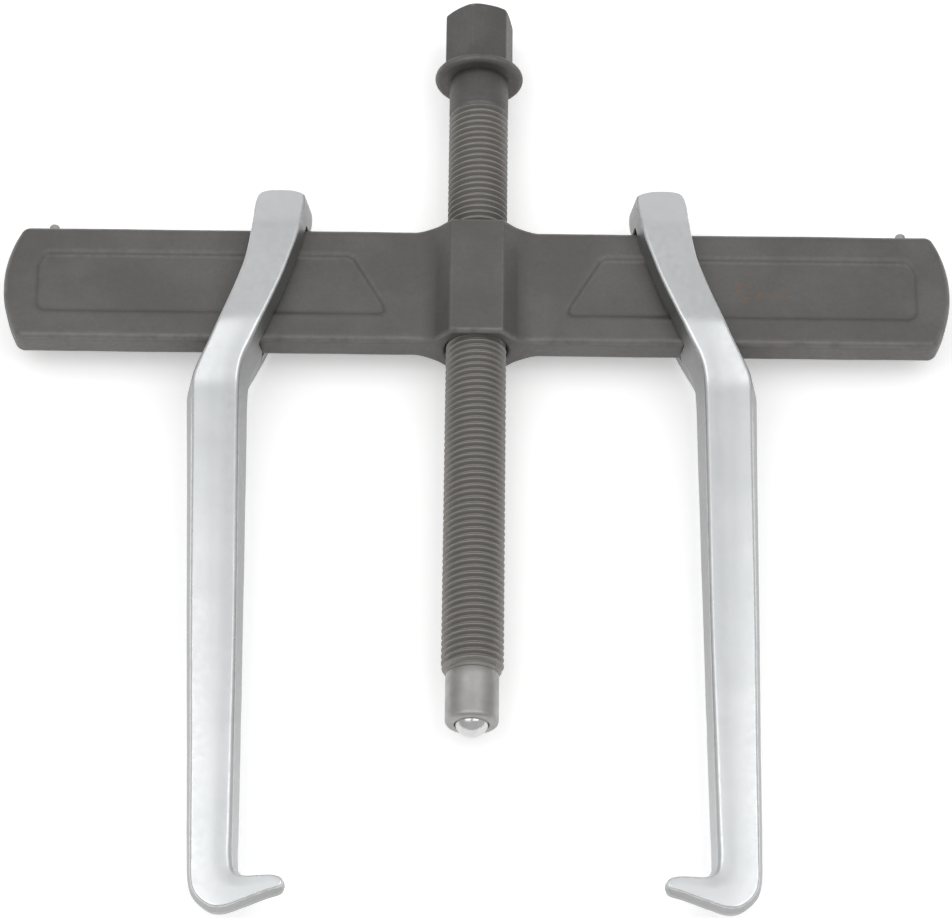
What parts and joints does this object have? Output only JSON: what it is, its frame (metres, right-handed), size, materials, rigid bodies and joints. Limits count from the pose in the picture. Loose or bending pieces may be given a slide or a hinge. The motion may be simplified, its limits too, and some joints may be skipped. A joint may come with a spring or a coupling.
{
  "type": "gear puller",
  "caption": "Gear puller with sliding hooked jaws on a forged crossbeam and a central forcing screw with a hex head and a ball tip.",
  "frame": {"origin": "centre of the flat back face of the crossbeam's boss, on the axis of the forcing screw", "axes": "the puller lies on the backs of its jaws and its collar: X along the crossbeam, +Y along the forcing screw towards the hex head, +Z out of the front face"},
  "size_m": [0.2822, 0.2949, 0.027],
  "materials": {
    "forged_steel": "matt dark grey phosphate over a forged skin",
    "screw_steel": "dark grey phosphate on a cut thread, bare turned steel at the tip",
    "plated_steel": "satin bright plating over a forging",
    "ball_steel": "polished bearing ball",
    "pin_steel": "bare drawn steel"
  },
  "bodies": {
    "crossbeam": {"crossbeam": "forged_steel", "stop_pin_left": "pin_steel", "stop_pin_right": "pin_steel"},
    "tip_ball": {"tip_ball": "ball_steel"},
    "forcing_screw": {"forcing_screw": "screw_steel"},
    "jaw_left": {"jaw_left": "plated_steel"},
    "jaw_right": {"jaw_right": "plated_steel"}
  },
  "joints": [
    {"name": "jaw_left_slide", "type": "slide", "parent": "crossbeam", "child": "jaw_left", "axis": [-1, 0, 0], "range_m": [-0.0366, 0.0573]},
    {"name": "jaw_right_slide", "type": "slide", "parent": "crossbeam", "child": "jaw_right", "axis": [1, 0, 0], "range_m": [-0.0329, 0.061]},
    {"name": "screw_feed", "type": "slide", "parent": "crossbeam", "child": "tip_ball", "axis": [0, -1, 0], "range_m": [-0.102, 0.042]},
    {"name": "screw_turn", "type": "hinge", "parent": "tip_ball", "child": "forcing_screw", "pos_m": [0, 0, 0.0121], "axis": [0, -1, 0], "range_deg": [-18378, 7578]}
  ],
  "couplings": [
    {"joint": "screw_turn", "follows": "screw_feed", "rad_per_m": 3141.6}
  ]
}
